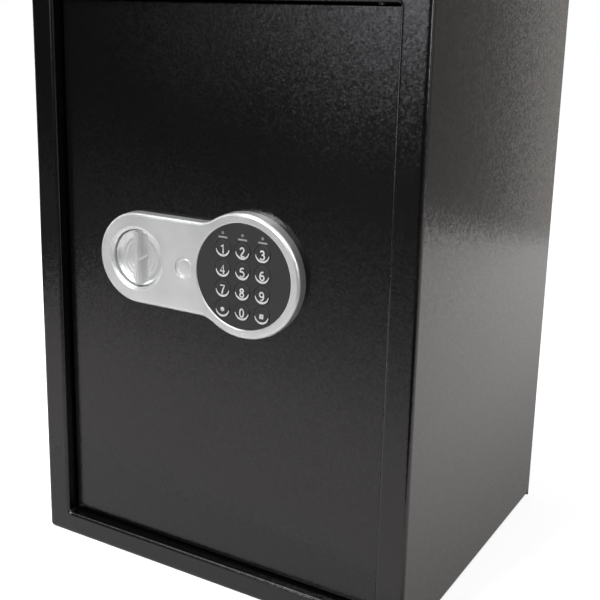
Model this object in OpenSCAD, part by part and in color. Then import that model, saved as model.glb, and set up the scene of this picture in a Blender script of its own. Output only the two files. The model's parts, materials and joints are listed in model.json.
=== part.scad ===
// Electronic safe with a keypad, a turning knob and a hinged door.
// Millimetres. The origin is the middle of the base, on the floor. The door faces -Y, +Z is up.

/* [Cabinet] */
// Outside width
body_w = 350; // [340:5:420]
// Outside depth, front frame to back
body_d = 310; // [270:10:420]
// Outside height
body_h = 500; // [450:10:650]
// Thickness of the shell, frame and back sheet
sheet_t = 2; // [1.5:0.5:3]

/* [Front frame] */
// Width of the frame's front face at the top and bottom
frame_w = 20.5; // [19.5:0.5:24]
// Width of the frame's front face at the sides
frame_side_w = 23.5; // [20:0.5:26]
// Outside radius of the bend from the sides to the front
outer_bend_r = 4; // [3:0.5:6]
// Outside radius of the bends along the shell's four long edges
long_bend_r = 4.5; // [3:0.5:6]
// Radius of the bend into the door opening
inner_bend_r = 3; // [2.5:0.5:5]
// Depth of the return that lines the opening
reveal_d = 18; // [16:0.5:18]

/* [Door] */
// How far the door's face lies behind the frame's face
door_recess = 11; // [10.5:0.5:13]
// Thickness of the door plate
door_t = 4; // [3:0.5:5]
// Gap between the door and the opening
door_gap = 2; // [1.5:0.25:3]
// Rounding of the door plate's front edges
door_edge_r = 1.2; // [0.5:0.1:2]
// Depth of the space behind the door plate
chamber_d = 32; // [31:0.5:38]
// Thickness of the door channel's sheet
channel_t = 1.5; // [1:0.25:2]
// Distance of the door channel from the door's edge
channel_in = 12; // [10:0.5:14]
// Thickness of the inner cover
cover_t = 1.2; // [1:0.1:2]

/* [Hinge] */
// Distance of the hinge axis from the right side of the opening
hinge_in = 20; // [20:0.5:23]
// Distance of the hinge axis behind the door's face
hinge_back = 8; // [8:0.25:9]
// Diameter of the hinge pins
hinge_pin_d = 8; // [6:0.5:8]
// Length of the hinge blocks
hinge_block_l = 40; // [30:2:60]

/* [Lock panel] */
// Height of the panel's middle above the middle of the cabinet
panel_up = 22.5; // [-20:2.5:40]
// Distance of the knob's axis from the door's left edge
knob_in = 79.5; // [76:0.5:82]
// Distance from the knob's axis to the keypad's middle
lock_pitch = 101; // [100:0.5:104]
// How far the panel stands out from the door
panel_t = 10; // [9.5:0.25:12]
// Radius of the panel's round end at the knob
knob_end_r = 38; // [36:0.5:42]
// Radius of the panel's round end at the keypad
pad_end_r = 50; // [50:0.5:54]
// Radius of the inner corner between the band and the keypad end
neck_r = 24; // [14:1:30]
// Rounding of the panel's front edge
panel_edge_r = 1.6; // [0.8:0.2:2.4]
// Wall of the panel
panel_wall = 2.4; // [2:0.1:3]

/* [Knob] */
// Radius of the knob
knob_r = 24; // [22:0.5:25]
// Gap round the knob
knob_gap = 0.35; // [0.2:0.05:0.6]
// Depth of the knob's rim below the panel's face
knob_sink = 3.5; // [2.5:0.25:4]
// Depth of the finger dish below the knob's rim
dish_d = 2.6; // [2:0.1:2.8]
// Width of the grip bar's edge at its middle
grip_w = 1.8; // [1.2:0.2:4]
// Diameter of the knob's spindle
spindle_d = 8; // [7:0.5:9]

/* [Keypad] */
// Radius of the black fascia
fascia_r = 42; // [41.75:0.25:42.5]
// Thickness of the fascia
fascia_t = 2.2; // [1.8:0.1:2.4]
// Diameter of a key
key_d = 14; // [12:0.2:14.2]
// Gap round each key
key_gap = 0.25; // [0.15:0.05:0.35]
// Distance between key columns
key_pitch_x = 17.7; // [16.5:0.1:18]
// Distance between key rows
key_pitch_z = 16.2; // [15.9:0.1:16.4]
// Travel of a key
key_travel = 0.8; // [0.4:0.1:0.9]
// Diameter of an indicator lens
lens_d = 2.4; // [1.6:0.2:3]

/* [Override lock] */
// Distance from the knob's axis to the override lock
override_in = 46.7; // [45:0.1:48]
// Diameter of the round cap over the lock
cap_d = 17; // [16.6:0.2:17.4]
// Diameter of the lock cylinder
cylinder_d = 16; // [15:0.25:16]
// Diameter of the turning plug
plug_d = 11; // [10:0.25:12]
// Length of the override cam's arm
override_arm = 10.5; // [8:0.5:10.5]

/* [Bolt work] */
// Diameter of a locking bolt
bolt_d = 16; // [14:0.5:16]
// Distance between the two bolts
bolt_pitch = 150; // [140:5:180]
// Travel of the bolts
bolt_stroke = 16; // [15.4:0.1:16]
// Length of a bolt
bolt_l = 60; // [56:1:64]
// Thickness of the bolt carrier
carrier_t = 3; // [2:0.25:3.5]
// Diameter of the cam disc
cam_d = 36; // [32:1:42]
// Diameter of the cam's drive pin
drive_pin_d = 6; // [5:0.25:6.5]
// Diameter of the solenoid's plunger
plunger_d = 8; // [7:0.25:8]
// Travel of the plunger
plunger_stroke = 8; // [6.5:0.25:9]

/* [Batteries] */
// Diameter of a battery
battery_d = 14.2; // [13.5:0.1:14.5]
// Length of a battery
battery_l = 50; // [48:0.5:52]
// Number of batteries
battery_count = 4; // [3:1:4]
// Wall of the battery tray
tray_wall = 1.5; // [1.2:0.1:2]

/* [Inside] */
// Height of the shelf above the floor
shelf_z = 250; // [200:10:300]
// Thickness of the shelf
shelf_t = 1.5; // [1.2:0.1:2]
// Depth of the shelf's front lip
shelf_lip = 14; // [10:1:18]
// Thickness of the floor mat
mat_t = 3; // [2:0.5:5]
// Diameter of an anchor hole
anchor_d = 12; // [8:0.5:14]
// Distance between the two anchor holes in the floor, and between the two in the back
anchor_pitch = 200; // [150:10:240]
// Height of the back anchor holes above the floor
anchor_z = 330; // [320:10:380]

/* [Hidden] */
$fn = 64;
black = "#1c1b1b";
silver = "#bfc2c1";
steel = "#9a9da0";
zinc = "#c4c6c8";
eps = 0.01;

// Clearances
pin_fit = 0.05;      // a pin in its bearing
slide_fit = 0.1;     // a bolt in its guide
hole_slack = 0.2;    // a screw through a plain hole
air = 0.3;           // least space between moving faces

// Cabinet
front_y = -body_d/2;
frame_skirt = outer_bend_r + 4;
in_w = body_w - 2*sheet_t;
in_h = body_h - 2*sheet_t;
open_w = body_w - 2*frame_side_w;
open_h = body_h - 2*frame_w;
bracket_t = 4;
bracket_y = hinge_back + door_recess;
bracket_left = 16;
bracket_back = 2;
bracket_past = 12;
mat_gap = long_bend_r - sheet_t + 0.5;
support_end = 10;
shelf_front = door_recess + door_t + chamber_d + 24;
shelf_gap = 1;
support_w = 10;
support_t = 1.5;

// Door. In the door's own frame X is across, Y is up the door and Z stands out from its face,
// with the zero at the middle of the cabinet's width, on the floor, on the door's face.
door_w = open_w - 2*door_gap;
door_h = open_h - 2*door_gap;
door_left = -door_w/2;
door_low = frame_w + door_gap;
door_top = door_low + door_h;
hinge_x = open_w/2 - hinge_in;
hinge_wall = 3;
hinge_block_w = hinge_pin_d + 10;
hinge_block_gap = 1;
chan_left = door_left + channel_in;
chan_right = hinge_x - hinge_block_w/2 - hinge_wall;
chan_low = door_low + channel_in;
chan_top = door_top - channel_in;
chamber_z = -door_t - chamber_d;
cover_lap = 3;
screw_d = 3;
screw_head_h = 1.8;
screw_slot_w = 0.8;
boss_w = 10;
cover_screw_z = [chan_low + boss_w, (chan_low + chan_top)/2 + 60, chan_top - boss_w];

// Lock panel
lock_z = body_h/2 + panel_up;
knob_x = door_left + knob_in;
pad_x = knob_x + lock_pitch;
neck_x = pad_x - sqrt(pow(pad_end_r + neck_r, 2) - pow(knob_end_r + neck_r, 2));
neck_bite = 0.1;      // lets the inner corner cross its two neighbours, not just touch them
well_wall = 2;
knob_lip_r = knob_r + 3;
well_floor = 1.6;
well_low = 1;
panel_bolt_d = 4;
panel_boss_d = 8;
pad_bolt_r = fascia_r + 2;
pad_bolt_turn = 38;
band_bolt = [31, 26];
panel_bolt_at = [for (s = [-1, 1], end = [0, 1]) end == 0
    ? [knob_x + band_bolt[0], lock_z + s*band_bolt[1]]
    : [pad_x + pad_bolt_r*cos(pad_bolt_turn), lock_z + s*pad_bolt_r*sin(pad_bolt_turn)]];

// Knob
knob_rim = panel_t - knob_sink;
knob_low = well_low + well_floor + air;
dish_z = knob_rim - dish_d;
dish_r = knob_r - 2;
grip_top = panel_t - 0.6;
grip_slope = 4.2;
grip_end_w = grip_w + 5;
grip_waist_r = (pow(dish_r, 2) + pow((grip_end_w - grip_w)/2, 2))/(grip_end_w - grip_w);
tang_d = 6;
tang_bore = 2.6;
rim_edge = 0.6;
bush_flange_t = 1.4;
bush_d = spindle_d + 6;
cam_z = -door_t - 1.8;
cam_t = 4;
cam_pin_r = bolt_stroke/sqrt(2);

// Keypad
fascia_top = panel_t - 0.3;
fascia_low = fascia_top - fascia_t;
fascia_gap = 0.15;
board_lap = 1.2;
board_t = 1.6;
key_flange_t = 0.7;
key_flange_d = key_d + 1;
key_top = panel_t;
key_low = fascia_low - 0.2 - key_flange_t;
dome_h = 1.2;
dome_d = 6;
key_edge = 0.4;
dome_top = key_low - key_travel - air;
board_top = dome_top - dome_h;
board_r = fascia_r - 1;
key_x = pad_x;
key_z = lock_z + 20.7;
label_z = key_z + 12.2;
function key_at(row, column) = [key_x + (column - 1)*key_pitch_x, key_z - row*key_pitch_z];

// Override lock
override_x = knob_x + override_in;
override_z = lock_z - 1;
cap_seat = panel_t - 1.2;
cap_stem_d = cap_d - 2.8;
cylinder_top = 3.8;
cap_room = 2.3;
cap_rise = 0.4;
cap_hollow = 1.6;
nut_t = 4;
keyway = [1.4, 8, 20];
plug_gap = 0.3;
cylinder_flange_t = 1.5;
cylinder_low = -22;
tail_d = 6;
override_cam_t = 2;
cam_rest = 60;       // the arm's angle at rest, from across, and it turns down from there
cam_turn = 90;
cam_arm_w = 6;

// Bolt work
bolt_tip = door_left + 0.5;
bolt_z = -door_t - 13;
carrier_z = bolt_z - bolt_d/2 + 1;
bolt_lap = 20;
carrier_left = bolt_tip + bolt_l - bolt_lap;
carrier_right = knob_x + 20;
carrier_h = bolt_pitch + 30;
slot_w = drive_pin_d + 1.6;
bolt_screw_d = 5;
bolt_head_h = 2.4;
bolt_slot_w = 1;
cam_screw_d = 4;
cam_screw_l = 7;
cam_screw_head = 9;
bolt_taper = 1.2;
guide_t = 8;
guide_wall = 4;
guide_foot = 6;
post_head_t = 2.4;
post_d = 6;
post_y = 50;
post_x = carrier_left + 20;
plunger_x = knob_x + 65;
tooth_w = 6;
tooth_gap = (bolt_stroke - tooth_w - plunger_d)/2;
tooth_x = plunger_x + plunger_d/2 + tooth_gap;
arm_low = lock_z + 28;
arm_h = 8;
tooth_low = arm_low - 8;
plunger_tip = tooth_low - 1.5;
plunger_z = carrier_z - carrier_t/2;
collar_t = 2;
collar_d = plunger_d + 6;
collar_z = override_z - override_arm*sin(cam_turn - cam_rest) - cam_arm_w/2 - 0.4
    - plunger_stroke - collar_t;
spring_l = 14;
solenoid_w = 28;
solenoid_h = 36;
solenoid_low = collar_z - spring_l - solenoid_h;
plunger_low = solenoid_low + 4;
solenoid_back = chamber_z + 0.5;

// Electronics
pcb_x = plunger_x + 20;
pcb_w = 66;
pcb_h = 62;
pcb_low = lock_z - 48;
pcb_z = chamber_z + 8;
pcb_screw_x = [4, pcb_w - 4];
pcb_screw_y = [4, pcb_h - 4];
pcb_screw_d = 3;
standoff_d = 6;
chip_at = [30, 12];
chip_w = 14;
chip_t = 1.6;
buzzer_at = [12, 14];
buzzer_d = 12;
buzzer_h = 4;
socket_at = [10, 34];
socket_w = 8;
socket_h = 3;
switch_w = 6;
switch_h = 2.4;
capacitor_at = [26, 44];
capacitor_d = 6;
capacitor_h = 5;
ribbon_w = 10;
ribbon_t = 1.2;
lead_d = 2;
lead_lap = 5;
tray_lead_x = [8, 14];
coil_lead_y = [9, 13];

// Batteries
tray_w = battery_count*(battery_d + 0.6) + 2*tray_wall;
tray_h = battery_l + 6;
tray_d = battery_d + 2.5;
tray_x = pad_x - 14;
tray_low = lock_z + 50;
tray_z = chamber_z + tray_d;
tray_flange = 4;
lid_gap = 0.3;
lid_t = 2;
lid_rib_w = 20;
lid_rib_t = 1.2;
lid_rib_h = 0.8;
lid_rib_pitch = 3;
lid_rail_t = 1.2;
lid_rail_past = 8;
cell_cap_d = 5;
cell_cap_h = 1.1;
contact_w = 8;
contact_t = 1.2;
reset_x = pcb_x + 50;
reset_z = pcb_low + 44;
reset_d = 8;
reset_travel = 1.2;
reset_out = 2;
reset_step = 1.4;

// Spring
spring_r = plunger_d/2 + 1.6;
spring_wire = 1;
spring_turns = 5;
spring_low = solenoid_low + solenoid_h + 0.1;
spring_high = collar_z - 0.1;

// A screw head with a cross cut in its outer face.
module cross_head(wide, high, slot_wide) difference() {
    cylinder(d = wide, h = high);
    for (turn = [0, 90]) rotate(turn)
        cube([0.55*wide, slot_wide, 1.6*high], center = true);
}

// Places children in the door's own frame.
module on_door() {
    translate([0, front_y + door_recess, 0]) rotate([90, 0, 0]) children();
}

// A block whose front four edges are rounded, front at y = 0, standing on z = low.
module round_front_block(w, h, d, r, low) {
    intersection() {
        translate([0, 0, low]) linear_extrude(h) union() {
            translate([-w/2, r]) square([w, d - r]);
            translate([-w/2 + r, 0]) square([w - 2*r, r + eps]);
            for (s = [-1, 1]) translate([s*(w/2 - r), r]) circle(r);
        }
        translate([-w/2, 0, low]) rotate([90, 0, 90]) linear_extrude(w) union() {
            translate([r, 0]) square([d - r, h]);
            translate([0, r]) square([r + eps, h - 2*r]);
            for (up = [r, h - r]) translate([r, up]) circle(r);
        }
    }
}

// The cabinet's outline from the front, inset from its outside, drawn out backwards.
module body_block(inset, deep) {
    w = body_w - 2*inset;
    h = body_h - 2*inset;
    r = long_bend_r - inset;
    translate([0, deep, inset]) rotate([90, 0, 0]) linear_extrude(deep) union() {
        translate([-w/2, r]) square([w, h - 2*r]);
        for (up = [0, h - r - eps]) translate([-w/2 + r, up]) square([w - 2*r, r + eps]);
        for (x = [-w/2 + r, w/2 - r], up = [r, h - r]) translate([x, up]) circle(r);
    }
}

// The outline of a channel whose mouth flares to the front with a rounded bend.
module flared_channel(w, d, r) {
    translate([-w/2, -1]) square([w, d + 2]);
    for (s = [-1, 1]) difference() {
        translate([s*(w/2 + r/2), r/2 - 0.5]) square([r, r + 1], center = true);
        translate([s*(w/2 + r), r]) circle(r);
    }
}

// The space of the door opening, with its rounded mouth.
module flared_opening(w, h, d, r, low) {
    intersection() {
        translate([0, 0, low - r]) linear_extrude(h + 2*r) flared_channel(w, d, r);
        translate([-w/2 - r, 0, low + h/2]) rotate([90, 0, 90])
            linear_extrude(w + 2*r) rotate(90) mirror([0, 1]) flared_channel(h, d, r);
    }
}

module cabinet_shell() color(black) {
    deep = body_d - frame_skirt - sheet_t;
    translate([0, front_y + frame_skirt, 0]) difference() {
        body_block(0, deep);
        translate([0, -1, 0]) body_block(sheet_t, deep + 2);
        for (s = [-1, 1]) translate([s*anchor_pitch/2, -front_y - frame_skirt, -1])
            cylinder(d = anchor_d, h = sheet_t + 2);
    }
}

module front_frame() color(black) {
    bracket_top = body_h - frame_w;
    translate([0, front_y, 0]) difference() {
        union() {
            difference() {
                intersection() {
                    round_front_block(body_w, body_h, frame_skirt, outer_bend_r, 0);
                    translate([0, -1, 0]) body_block(0, frame_skirt + 2);
                }
                intersection() {
                    translate([0, sheet_t, 0]) round_front_block(in_w, in_h,
                        frame_skirt, outer_bend_r - sheet_t, sheet_t);
                    body_block(sheet_t, frame_skirt + 2);
                }
            }
            translate([-open_w/2 - sheet_t, 0.5, frame_w - sheet_t])
                cube([open_w + 2*sheet_t, reveal_d - 0.5, open_h + 2*sheet_t]);
            for (s = [-1, 1]) translate([s*(open_w/2 + inner_bend_r/2), sheet_t + 0.6, body_h/2])
                cube([inner_bend_r, 2.4, open_h + 2*inner_bend_r], center = true);
            for (up = [frame_w - inner_bend_r/2, bracket_top + inner_bend_r/2])
                translate([0, sheet_t + 0.6, up])
                    cube([open_w + 2*inner_bend_r, 2.4, inner_bend_r], center = true);
        }
        flared_opening(open_w, open_h, reveal_d, inner_bend_r, frame_w);
        for (up = [frame_w - sheet_t - 1, bracket_top - 1])
            translate([hinge_x, bracket_y, up]) cylinder(d = hinge_pin_d + 2, h = sheet_t + 2);
    }
}

module back_panel() color(black) {
    translate([0, body_d/2, 0]) difference() {
        translate([-body_w/2, -sheet_t, 0]) cube([body_w, sheet_t, body_h]);
        for (s = [-1, 1]) translate([s*anchor_pitch/2, 1, anchor_z])
            rotate([90, 0, 0]) cylinder(d = anchor_d, h = sheet_t + 2);
    }
}

module hinge_brackets() color(steel) {
    left = hinge_x - bracket_left;
    for (up = [frame_w - sheet_t - bracket_t, body_h - frame_w + sheet_t])
        translate([0, front_y, up]) difference() {
            translate([left, sheet_t + bracket_back, 0])
                cube([in_w/2 - left, bracket_y + bracket_past - sheet_t - bracket_back, bracket_t]);
            translate([hinge_x, bracket_y, -1])
                cylinder(d = hinge_pin_d + 2*pin_fit, h = bracket_t + 2);
        }
}

module shelf() color(black) {
    w = in_w - 2*shelf_gap;
    deep = body_d - shelf_front - sheet_t - shelf_gap;
    translate([-w/2, front_y + shelf_front, shelf_z]) {
        cube([w, deep, shelf_t]);
        translate([0, 0, -shelf_lip]) cube([w, shelf_t, shelf_lip + eps]);
    }
}

module shelf_supports() color(steel) {
    deep = body_d - shelf_front - sheet_t - 2*support_end;
    for (s = [-1, 1]) translate([s*in_w/2, front_y + shelf_front + support_end, shelf_z]) {
        translate([s > 0 ? -support_w : 0, 0, -support_t]) cube([support_w, deep, support_t]);
        translate([s > 0 ? -support_t : 0, 0, -support_w - 2]) cube([support_t, deep, support_w + 2]);
    }
}

module floor_mat() color("#2b2a2c") {
    near = bracket_y + bracket_past + mat_gap;
    translate([0, front_y, sheet_t]) difference() {
        translate([mat_gap - in_w/2, near, 0])
            cube([in_w - 2*mat_gap, body_d - near - sheet_t - mat_gap, mat_t]);
        for (s = [-1, 1]) translate([s*anchor_pitch/2, -front_y, -1])
            cylinder(d = anchor_d + 8, h = mat_t + 2);
    }
}

module door_plate() color(black) difference() {
    translate([0, front_y + door_recess, 0])
        round_front_block(door_w, door_h, door_t, door_edge_r, door_low);
    on_door() {
        translate([knob_x, lock_z, -door_t - 1]) cylinder(d = bush_d + hole_slack, h = door_t + 2);
        translate([override_x, override_z, -door_t - 1])
            cylinder(d = cylinder_d + hole_slack, h = door_t + 2);
        translate([pad_x, lock_z, -door_t - 1]) cylinder(d = ribbon_w + 4, h = door_t + 2);
        for (p = panel_bolt_at) translate([p[0], p[1], -door_t - 1])
            cylinder(d = panel_bolt_d + 2*hole_slack, h = door_t + 2);
    }
}

module door_channel() color(black) on_door() difference() {
    low = chamber_z;
    union() {
        difference() {
            translate([chan_left, chan_low, low])
                cube([chan_right - chan_left, chan_top - chan_low, chamber_d]);
            translate([chan_left + channel_t, chan_low + channel_t, low - 1])
                cube([chan_right - chan_left - 2*channel_t, chan_top - chan_low - 2*channel_t,
                    chamber_d + 2]);
        }
        for (up = cover_screw_z, side = [0, 1])
            translate([side == 0 ? chan_left : chan_right - boss_w, up - boss_w/2, low])
                cube([boss_w, boss_w, boss_w]);
    }
    for (up = cover_screw_z, x = [chan_left + boss_w/2, chan_right - boss_w/2])
        translate([x, up, low - 1]) cylinder(d = screw_d + 2*pin_fit, h = boss_w);
    for (s = [-1, 1]) translate([chan_left - 1, lock_z + s*bolt_pitch/2, bolt_z])
        rotate([0, 90, 0]) cylinder(d = bolt_d + 2*slide_fit, h = channel_t + 2);
}

module hinge_blocks() color(steel) {
    deep = hinge_back - door_t + hinge_pin_d/2 + hinge_wall;
    on_door() for (up = [door_low + hinge_block_gap, door_top - hinge_block_gap - hinge_block_l])
        translate([hinge_x, up, -door_t]) difference() {
            translate([-hinge_block_w/2, 0, -deep]) cube([hinge_block_w, hinge_block_l, deep]);
            translate([0, hinge_block_l + 1, door_t - hinge_back])
                rotate([90, 0, 0]) cylinder(d = hinge_pin_d + 2*pin_fit, h = hinge_block_l + 2);
        }
}

module hinge_pins() color(zinc) {
    reach = door_gap + sheet_t + bracket_t - 0.5;
    pin_l = reach + 1 + hinge_block_l - 2;
    for (up = [door_low - reach, door_top + reach - pin_l])
        translate([hinge_x, front_y + door_recess + hinge_back, up])
            cylinder(d = hinge_pin_d, h = pin_l);
}

module inner_cover() color("#232323") on_door() difference() {
    union() {
        translate([chan_left - cover_lap, chan_low - cover_lap, chamber_z - cover_t])
            cube([chan_right - chan_left + 2*cover_lap, chan_top - chan_low + 2*cover_lap, cover_t]);
        for (s = [-1, 1]) translate([tray_x + s*(tray_w/2 + tray_flange + 1.6),
                tray_low + tray_h/2 + lid_rail_past, chamber_z - cover_t]) {
            translate([-1, -tray_h/2 - lid_rail_past, -lid_t - 2*lid_gap - lid_rail_t])
                cube([2, tray_h + 2*lid_rail_past, lid_t + 2*lid_gap + lid_rail_t + eps]);
            translate([s > 0 ? -3 : -1, -tray_h/2 - lid_rail_past, -lid_t - 2*lid_gap - lid_rail_t])
                cube([4, tray_h + 2*lid_rail_past, lid_rail_t]);
        }
    }
    translate([tray_x - tray_w/2 + tray_wall, tray_low + tray_wall, chamber_z - cover_t - 1])
        cube([tray_w - 2*tray_wall, tray_h - 2*tray_wall, cover_t + 2]);
    for (up = cover_screw_z, x = [chan_left + boss_w/2, chan_right - boss_w/2])
        translate([x, up, chamber_z - cover_t - 1]) cylinder(d = screw_d + hole_slack, h = cover_t + 2);
    translate([reset_x, reset_z, chamber_z - cover_t - 1])
        cylinder(d = reset_d + 0.5, h = cover_t + 2);
}

module cover_screws() color(zinc) on_door()
    for (up = cover_screw_z, x = [chan_left + boss_w/2, chan_right - boss_w/2])
        translate([x, up, chamber_z - cover_t]) {
            translate([0, 0, -screw_head_h]) cross_head(2*screw_d, screw_head_h, screw_slot_w);
            cylinder(d = screw_d, h = cover_t + boss_w - 3);
        }

// The panel's outer form, rounded at the front edge.
module panel_form() {
    module edge(half) {
        square([half, panel_t - panel_edge_r]);
        square([half - panel_edge_r, panel_t]);
        translate([half - panel_edge_r, panel_t - panel_edge_r]) intersection() {
            circle(panel_edge_r);
            square(panel_edge_r);
        }
    }
    translate([knob_x, lock_z, 0]) {
        rotate_extrude() edge(knob_end_r);
        rotate([90, 0, 90]) linear_extrude(lock_pitch) {
            edge(knob_end_r);
            mirror([1, 0]) edge(knob_end_r);
        }
    }
    translate([pad_x, lock_z, 0]) rotate_extrude() edge(pad_end_r);
    for (s = [-1, 1]) neck(s);
}

// The corner between the band and the keypad's end, hollowed to the inner corner's radius.
module neck(s) difference() {
    r = panel_edge_r;
    cut_r = neck_r + neck_bite;
    linear_extrude(panel_t) polygon([[neck_x, lock_z], [pad_x, lock_z],
        [neck_x, lock_z + s*(knob_end_r + neck_r)]]);
    translate([neck_x, lock_z + s*(knob_end_r + neck_r), -1]) rotate_extrude() difference() {
        square([cut_r + r, panel_t + 2]);
        translate([cut_r, -1]) square([r + 1, panel_t - r + 2]);
        translate([cut_r + r, panel_t - r + 1]) circle(r);
    }
}

module panel_hollow(high) {
    band = knob_end_r - panel_wall;
    translate([knob_x, lock_z, 0]) cylinder(r = band, h = high);
    translate([knob_x, lock_z - band, 0]) cube([lock_pitch, 2*band, high]);
    translate([pad_x, lock_z, 0]) cylinder(r = pad_end_r - panel_wall, h = high);
}

module panel_housing() color(silver) on_door() difference() {
    union() {
        difference() {
            panel_form();
            translate([0, 0, -1]) panel_hollow(panel_t - panel_wall + 1);
        }
        translate([knob_x, lock_z, well_low]) cylinder(r = knob_lip_r + well_wall, h = panel_t - well_low);
        translate([override_x, override_z, cylinder_top + cap_room])
            cylinder(d = cap_d + 3, h = panel_t - cylinder_top - cap_room);
        translate([pad_x, lock_z, 0])
            cylinder(r = fascia_r + fascia_gap + well_wall, h = panel_t - panel_wall + eps);
        for (p = panel_bolt_at) translate([p[0], p[1], 0])
            cylinder(d = panel_boss_d, h = panel_t - panel_wall + eps);
    }
    translate([knob_x, lock_z, knob_rim])
        cylinder(r1 = knob_r + knob_gap, r2 = knob_lip_r, h = knob_sink + eps);
    translate([knob_x, lock_z, well_low + well_floor])
        cylinder(r = knob_r + knob_gap, h = panel_t);
    translate([knob_x, lock_z, -1]) cylinder(d = spindle_d + 1, h = panel_t);
    translate([override_x, override_z, cap_seat]) cylinder(d = cap_d + 0.4, h = panel_t);
    translate([override_x, override_z, -1]) cylinder(d = cap_stem_d + 0.5, h = panel_t);
    translate([pad_x, lock_z, fascia_low]) cylinder(r = fascia_r + fascia_gap, h = panel_t);
    translate([pad_x, lock_z, -1]) cylinder(r = board_r - board_lap, h = panel_t);
    translate([pad_x, lock_z, -1]) cylinder(r = board_r + fascia_gap, h = board_top + 1);
    for (row = [0:3], column = [0:2]) translate(concat(key_at(row, column), board_top))
        cylinder(d = key_flange_d + 2*air, h = panel_t - board_top);
    for (p = panel_bolt_at) translate([p[0], p[1], -1])
        cylinder(d = panel_bolt_d + 2*pin_fit, h = panel_t - panel_wall);
}

module panel_bolts() color(zinc) on_door() for (p = panel_bolt_at)
    translate([p[0], p[1], -door_t]) {
        cylinder(d = panel_bolt_d, h = door_t + panel_t - panel_wall - 2);
        translate([0, 0, -bolt_head_h]) cross_head(2*panel_bolt_d, bolt_head_h, bolt_slot_w);
    }

module keypad_fascia() color("#2a2a2b") on_door() difference() {
    translate([pad_x, lock_z, fascia_low]) cylinder(r = fascia_r, h = fascia_t);
    for (row = [0:3], column = [0:2]) translate(concat(key_at(row, column), fascia_low - 1))
        cylinder(d = key_d + 2*key_gap, h = fascia_t + 2);
    for (column = [0:2]) translate([key_at(0, column)[0], label_z, fascia_low - 1])
        cylinder(d = lens_d + 0.1, h = fascia_t + 2);
}

module keypad_board() color("#1f5a3a") on_door() {
    translate([pad_x, lock_z, board_top - board_t]) cylinder(r = board_r, h = board_t);
    for (row = [0:3], column = [0:2]) translate(concat(key_at(row, column), board_top - eps))
        cylinder(d = dome_d, h = dome_h + eps);
}

module indicator_lenses() color("#8fae7c") on_door() for (column = [0:2])
    translate([key_at(0, column)[0], label_z, board_top])
        cylinder(d = lens_d, h = fascia_top + 0.1 - board_top);

// One key: a round cap with a hidden flange that holds it behind the fascia.
module key_cap(row, column) color("#2a2a2b") on_door()
    translate(concat(key_at(row, column), key_low)) {
        cylinder(d = key_flange_d, h = key_flange_t);
        cylinder(d = key_d, h = key_top - key_low - key_edge);
        translate([0, 0, key_top - key_low - key_edge])
            cylinder(d1 = key_d, d2 = key_d - 2*key_edge, h = key_edge);
    }
module key_1() key_cap(0, 0);
module key_2() key_cap(0, 1);
module key_3() key_cap(0, 2);
module key_4() key_cap(1, 0);
module key_5() key_cap(1, 1);
module key_6() key_cap(1, 2);
module key_7() key_cap(2, 0);
module key_8() key_cap(2, 1);
module key_9() key_cap(2, 2);
module key_star() key_cap(3, 0);
module key_0() key_cap(3, 1);
module key_hash() key_cap(3, 2);

module knob() color(silver) on_door() translate([knob_x, lock_z, 0]) difference() {
    union() {
        difference() {
            union() {
                translate([0, 0, knob_low]) cylinder(r = knob_r, h = knob_rim - knob_low - rim_edge);
                translate([0, 0, knob_rim - rim_edge])
                    cylinder(r1 = knob_r, r2 = knob_r - rim_edge, h = rim_edge);
            }
            translate([0, 0, dish_z]) cylinder(r1 = dish_r - 1, r2 = dish_r, h = dish_d + eps);
        }
        intersection() {
            translate([0, 0, knob_low]) cylinder(r = dish_r + 0.4, h = grip_top - knob_low);
            difference() {
                translate([-12, -knob_r, knob_low]) cube([24, 2*knob_r, grip_top - knob_low]);
                for (s = [-1, 1]) translate([s*(grip_waist_r + grip_w/2), 0, dish_z])
                    cylinder(r1 = grip_waist_r - grip_slope, r2 = grip_waist_r,
                        h = grip_top - dish_z + eps);
            }
        }
        translate([0, 0.8, 0]) rotate([90, 0, 0]) linear_extrude(1.6)
            polygon([[-grip_w/2 - 6, dish_z - eps], [grip_w/2 + 6, dish_z - eps],
                [grip_w/2, grip_top - 0.4], [-grip_w/2, grip_top - 0.4]]);
    }
    translate([0, 0, knob_low - 1]) cylinder(d = tang_d + 2*pin_fit, h = tang_bore + 1);
}

module knob_spindle() color(steel) on_door() translate([knob_x, lock_z, 0]) difference() {
    union() {
        translate([0, 0, cam_z - cam_t]) cylinder(d = spindle_d, h = knob_low - 0.1 - cam_z + cam_t);
        translate([0, 0, cam_z]) cylinder(d = tang_d, h = knob_low + tang_bore - 0.2 - cam_z);
    }
    translate([0, 0, cam_z - cam_t - 1]) cylinder(d = cam_screw_d + 2*pin_fit, h = cam_screw_l + 2);
}

module knob_bush() color("#b08d4a") on_door() translate([knob_x, lock_z, 0]) difference() {
    union() {
        translate([0, 0, -door_t - bush_flange_t]) cylinder(d = bush_d + 5, h = bush_flange_t);
        translate([0, 0, -door_t - bush_flange_t])
            cylinder(d = bush_d, h = door_t + bush_flange_t + well_low - 0.2);
    }
    translate([0, 0, -door_t - 2]) cylinder(d = spindle_d + 2*pin_fit, h = door_t + 6);
}

module bolt_cam() color(steel) on_door() translate([knob_x, lock_z, cam_z - cam_t]) {
    difference() {
        cylinder(d = cam_d, h = cam_t);
        translate([0, 0, -1]) cylinder(d = spindle_d + 2*pin_fit, h = cam_t + 2);
    }
    rotate(45) translate([cam_pin_r, 0, 0])
        mirror([0, 0, 1]) cylinder(d = drive_pin_d, h = cam_z - cam_t - carrier_z + carrier_t + 1.5);
}

module cam_screw() color(zinc) on_door() translate([knob_x, lock_z, cam_z - cam_t]) {
    translate([0, 0, -bolt_head_h]) cross_head(cam_screw_head, bolt_head_h, bolt_slot_w);
    translate([0, 0, -eps]) cylinder(d = cam_screw_d, h = cam_screw_l);
}

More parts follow.
